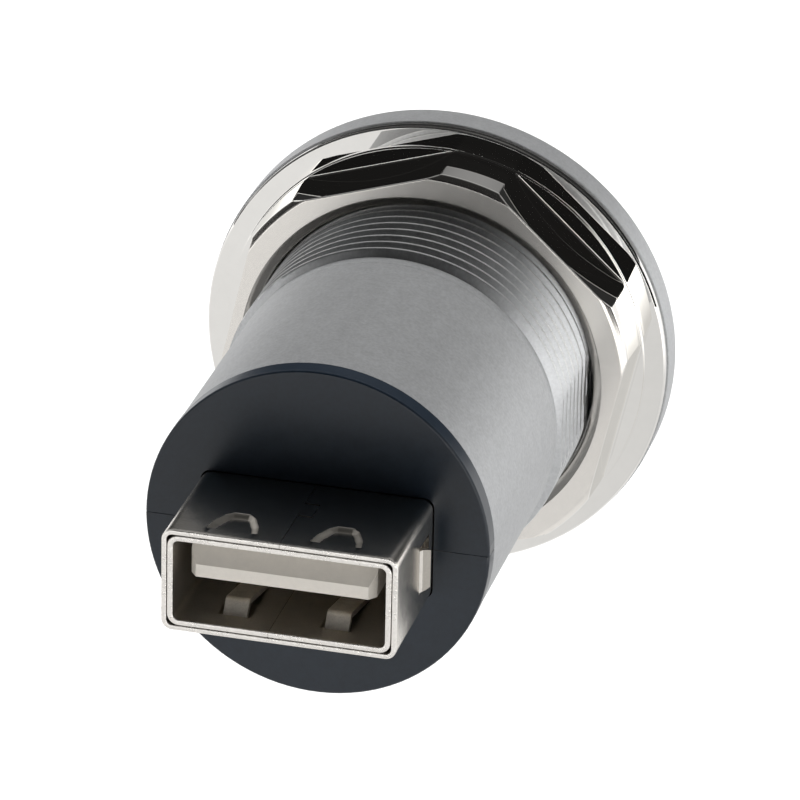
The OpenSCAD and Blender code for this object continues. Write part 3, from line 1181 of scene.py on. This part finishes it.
@dataclass(frozen=True)
class Lamp:
    """A soft box that lights the part unseen by the eye and the plating; in metres and watts."""

    name: str
    place: tuple[float, float, float]
    size: tuple[float, float]
    watts: float

    def build(self) -> None:
        """Adds the lamp, turned to face the part."""
        data = bpy.data.lights.new(self.name, "AREA")
        data.shape = "RECTANGLE"
        data.size, data.size_y = self.size
        data.energy = self.watts
        lamp = bpy.data.objects.new(self.name, data)
        bpy.context.scene.collection.objects.link(lamp)
        lamp.location = self.place
        lamp.rotation_mode = "QUATERNION"
        lamp.rotation_quaternion = lamp.location.to_track_quat("Z", "Y")
        lamp.visible_camera = False
        lamp.visible_glossy = False


@dataclass(frozen=True)
class Studio:
    """White table in a dark room: a lamp overhead, soft boxes at both sides behind the part and before it.

    The sky's stops run from the horizon behind the part (0) over the zenith (0.5) to the camera's side (1).
    The table's stops run along Y in metres, and those across it along X plus its slant times Y. They are
    what the plating sees of it. Paper shows to the eye as far as the lamp lights it, and white beyond.
    """

    floor_z: float = -0.085
    floor_size: float = 6.0
    paper: str = "#f4f4f4"
    paper_to: tuple[float, float] = (0.35, 0.7)
    sky: Stops = (
        (0.0, 0.02), (0.15, 0.03), (0.18, 0.28), (0.25, 0.45),
        (0.33, 0.35), (0.46, 0.12), (0.6, 0.02), (1.0, 0.008),
    )
    # The table's tones are painted: a painted shadow of the part where they dip under one, and painted
    # pools of light where they rise above it.
    table: Stops = (
        (-0.7, 1.6), (-0.5, 1.5), (-0.34, 0.95), (-0.22, 0.84), (-0.14, 0.78),
        (-0.03, 0.9), (0.12, 0.9), (0.22, 0.95), (0.34, 1.2), (0.6, 1.2),
    )
    table_across: Stops = ((0.04, 1.0), (0.07, 0.87), (0.2, 0.87), (0.34, 1.8))
    slant: float = -0.5
    boxes: tuple[BoxPair, ...] = (
        BoxPair(across=(0.5, 0.8), along=(0.1, 0.45), left=(1.5, 2.3), right=(2.5, 0.5)),
        BoxPair(across=(0.5, 0.64), along=(-0.5, -0.65), left=(0.35, 0.1), right=(2.2, 0.02)),
    )
    lamps: tuple[Lamp, ...] = (
        Lamp("soft_box_over", place=(0.0, 0.45, 1.1), size=(1.2, 0.8), watts=23.0),
        Lamp("table_glow", place=(0.0, -0.13, -0.08), size=(0.3, 0.16), watts=0.11),
    )

    def floor(self) -> None:
        """Lays the table."""
        half = self.floor_size / 2
        signs = ((-1, -1), (1, -1), (1, 1), (-1, 1))
        corners = [(x * half, y * half, self.floor_z) for x, y in signs]
        mesh = bpy.data.meshes.new("studio_floor")
        mesh.from_pydata(corners, [], [(0, 1, 2, 3)])
        plane = bpy.data.objects.new("studio_floor", mesh)
        bpy.context.scene.collection.objects.link(plane)
        material = bpy.data.materials.new("floor_white_paper")
        material.use_nodes = True
        material.node_tree.nodes.clear()
        self.table_surface(material.node_tree)
        mesh.materials.append(material)

    def table_surface(self, tree: bpy.types.NodeTree) -> None:
        """Builds the table's shader, which keeps the part's shadow on the paper.

        Args:
            tree: The material's empty node tree.
        """
        add = partial(add_node, tree)
        highest, times = {"operation": "MAXIMUM"}, {"operation": "MULTIPLY"}
        paper = add("BsdfDiffuse", values={"Color": linear(self.paper)})
        where = add("NewGeometry").outputs["Position"]
        parts = add("SeparateXYZ", links={0: where}).outputs
        across = add("Math", {"operation": "MULTIPLY_ADD"}, {1: self.slant}, {0: parts["Y"], 2: parts["X"]})
        # These tones are painted: the part's shadow where they fall under one, and pools of light where
        # they rise above it.
        tones = []
        for way, line in ((parts["Y"], self.table), (across, self.table_across)):
            low, high = line[0][0], line[-1][0]
            along = add("MapRange", values={"From Min": low, "From Max": high}, links={"Value": way})
            stops = [((at - low) / (high - low), level) for at, level in line]
            tones.append(add("ValToRGB", links={0: along}, stops=stops))
        tone = add("Math", times, links=dict(enumerate(tones)))
        rays = add("LightPath").outputs
        level = add("Math", highest, links={0: rays["Is Camera Ray"], 1: tone})
        glow = add("Emission", links={"Strength": level})
        away = add("VectorMath", {"operation": "LENGTH"}, links={0: where})
        near, far = self.paper_to
        beyond = add(
            "MapRange",
            {"interpolation_type": "SMOOTHSTEP"},
            {"From Min": near, "From Max": far},
            {"Value": away.outputs["Value"]},
        )
        glows = add("Math", times, links={0: rays["Is Camera Ray"], 1: beyond})
        for ray in ("Is Glossy Ray", "Is Transmission Ray"):
            glows = add("Math", highest, links={0: glows, 1: rays[ray]})
        mix = add("MixShader", links={0: glows, 1: paper, 2: glow})
        add("OutputMaterial", links={"Surface": mix})

    def room(self) -> None:
        """Makes the room: white to the camera, else dark with its soft boxes."""
        world = bpy.data.worlds.new("studio_room")
        bpy.context.scene.world = world
        world.use_nodes = True
        world.node_tree.nodes.clear()
        add = partial(add_node, world.node_tree)
        where = add("TexCoord").outputs["Generated"]
        parts = add("SeparateXYZ", links={0: where}).outputs
        turn = add("Math", {"operation": "ARCTAN2"}, links={0: parts["Z"], 1: parts["Y"]})
        sweep = add("Math", {"operation": "DIVIDE"}, {1: math.pi}, {0: turn})
        level = add("ValToRGB", links={0: sweep}, stops=self.sky)
        wide = add("Math", {"operation": "ABSOLUTE"}, links={0: parts["X"]})
        on_right = add("Math", {"operation": "GREATER_THAN"}, {1: 0.0}, {0: parts["X"]})
        for pair in self.boxes:
            across, along, left, right = (
                add(
                    "MapRange",
                    {"interpolation_type": "SMOOTHSTEP"},
                    {"From Min": span[0], "From Max": span[1], "To Min": ends[0], "To Max": ends[1]},
                    {"Value": source},
                )
                for span, ends, source in (
                    (pair.across, (0.0, 1.0), wide),
                    (pair.along, (0.0, 1.0), parts["Y"]),
                    (pair.up, pair.left, parts["Z"]),
                    (pair.up, pair.right, parts["Z"]),
                )
            )
            box = add("Mix", {"data_type": "FLOAT"}, links={0: on_right, 2: left, 3: right})
            inside = add("Math", {"operation": "MULTIPLY"}, links={0: across, 1: along})
            level = add("Mix", {"data_type": "FLOAT"}, links={0: inside, 2: level, 3: box})
        white = {"Color": (1, 1, 1, 1)}
        dark = add("Background", values=white, links={"Strength": level})
        pale = add("Background", values=white)
        rays = add("LightPath").outputs
        mix = add("MixShader", links={0: rays["Is Camera Ray"], 1: dark, 2: pale})
        add("OutputWorld", links={"Surface": mix})

    def build(self) -> None:
        """Sets up the whole studio."""
        self.floor()
        self.room()
        for lamp in self.lamps:
            lamp.build()
        LOG.info("studio: table, room and soft boxes")


@dataclass(frozen=True)
class PhotoCamera:
    """The camera, fitted to the photograph's circles and to the socket's rim."""

    turn: tuple[float, float, float] = (1.131332947, 0.127977440, 0.239541330)
    place: tuple[float, float, float] = (85.6892, -348.7316, 162.9588)
    lens: float = 283.868
    sensor: float = 36.0

    def build(self) -> None:
        """Makes the camera and hands it to the scene."""
        data = bpy.data.cameras.new("photo_camera")
        data.lens = self.lens
        data.sensor_fit = "HORIZONTAL"
        data.sensor_width = self.sensor
        data.clip_start, data.clip_end = 0.01, 20.0
        camera = bpy.data.objects.new("photo_camera", data)
        bpy.context.scene.collection.objects.link(camera)
        angle = math.sqrt(sum(t * t for t in self.turn))
        spin = Matrix.Rotation(angle, 4, [t / angle for t in self.turn])
        camera.matrix_world = Matrix.Translation([p * MM for p in self.place]) @ spin
        bpy.context.scene.camera = camera


def main() -> None:
    """Builds every piece in order, then the studio."""
    logging.basicConfig(level=logging.INFO, format="%(message)s")
    PhotoCamera().build()
    Housing().build()
    ClampNut().build()
    Carrier().build()
    Sleeve().build()
    SocketShell(
        End.REAR, "rear_socket_shell", "rear_inner_shell", width=13.36, height=5.74, sheet=0.34
    ).build()
    SocketShell(End.FRONT, "front_socket_shell", "front_shell").build()
    for end in End:
        Insert(f"{end.value}_tongue", PALE_MOULDING, ease=0.2).build()
        for i in range(1, 5):
            Insert(f"{end.value}_contact_{i}", GOLD_FLASH, ease=0.03).build()
    for node, finish in (("panel_seal", NITRILE), ("circuit_board", LAMINATE)):
        Insert(node, finish, ease=0.08).build()
    Studio().build()
    bpy.context.scene.view_settings.view_transform = "Standard"


if __name__ == "__main__":
    main()
